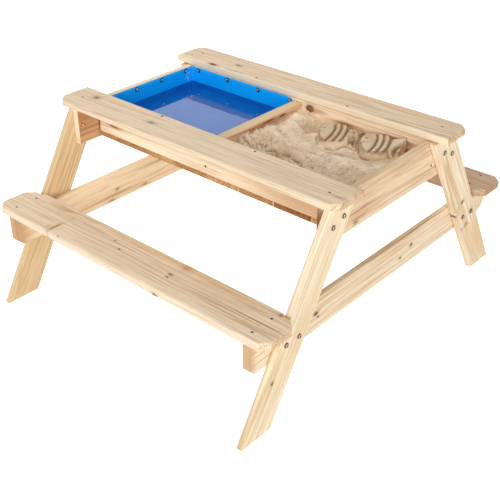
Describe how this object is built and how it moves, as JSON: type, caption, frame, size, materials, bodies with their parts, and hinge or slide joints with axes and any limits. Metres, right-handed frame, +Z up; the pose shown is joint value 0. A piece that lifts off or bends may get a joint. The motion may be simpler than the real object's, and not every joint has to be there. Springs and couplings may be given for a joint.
{
  "type": "picnic table with sandbox",
  "caption": "Low wooden children's picnic table with attached benches on splayed bolted legs, and a lined water basin and a sand tray let into the top.",
  "frame": {"origin": "on the ground under the middle of the table", "axes": "+X along the top planks and benches, from the water basin to the sand tray; -Y to the front bench, +Y to the rear bench; +Z up"},
  "size_m": [0.918, 1.0762, 0.5],
  "materials": {
    "seat_wood": "planed, greyish tan, weathered pine",
    "frame_wood": "planed, pale yellow pine",
    "slat_wood": "planed pine in shade",
    "liner_pvc": "bright blue sheet, glossy",
    "stud_nickel": "polished nickel",
    "zinc_steel": "zinc plated",
    "sand": "damp play sand",
    "water": "clear water"
  },
  "bodies": {
    "root": {"front_top_plank": "seat_wood", "rear_top_plank": "seat_wood", "front_bench": "seat_wood", "rear_bench": "seat_wood", "leg_front_left": "frame_wood", "leg_front_right": "frame_wood", "leg_rear_left": "frame_wood", "leg_rear_right": "frame_wood", "cross_beam_left": "frame_wood", "cross_beam_right": "frame_wood", "end_wall_left": "frame_wood", "end_wall_right": "frame_wood", "side_wall_front": "frame_wood", "side_wall_rear": "frame_wood", "divider": "frame_wood", "base_slat_1": "slat_wood", "base_slat_2": "slat_wood", "base_slat_3": "slat_wood", "base_slat_4": "slat_wood", "base_slat_5": "slat_wood", "base_slat_6": "slat_wood", "base_slat_7": "slat_wood", "base_slat_8": "slat_wood", "liner": "liner_pvc", "sand": "sand", "bolt_front_left_top_inner": "zinc_steel", "bolt_front_left_top_outer": "zinc_steel", "bolt_front_left_beam_inner": "zinc_steel", "bolt_front_left_beam_outer": "zinc_steel", "bolt_front_right_top_inner": "zinc_steel", "bolt_front_right_top_outer": "zinc_steel", "bolt_front_right_beam_inner": "zinc_steel", "bolt_front_right_beam_outer": "zinc_steel", "bolt_rear_left_top_inner": "zinc_steel", "bolt_rear_left_top_outer": "zinc_steel", "bolt_rear_left_beam_inner": "zinc_steel", "bolt_rear_left_beam_outer": "zinc_steel", "bolt_rear_right_top_inner": "zinc_steel", "bolt_rear_right_top_outer": "zinc_steel", "bolt_rear_right_beam_inner": "zinc_steel", "bolt_rear_right_beam_outer": "zinc_steel", "stud_left_1": "stud_nickel", "stud_left_2": "stud_nickel", "stud_left_3": "stud_nickel", "stud_left_4": "stud_nickel", "stud_divider_1": "stud_nickel", "stud_divider_2": "stud_nickel", "stud_divider_3": "stud_nickel", "stud_divider_4": "stud_nickel", "stud_front_1": "stud_nickel", "stud_front_2": "stud_nickel", "stud_front_3": "stud_nickel", "stud_front_4": "stud_nickel", "stud_rear_1": "stud_nickel", "stud_rear_2": "stud_nickel", "stud_rear_3": "stud_nickel", "stud_rear_4": "stud_nickel"}
  },
  "joints": []
}
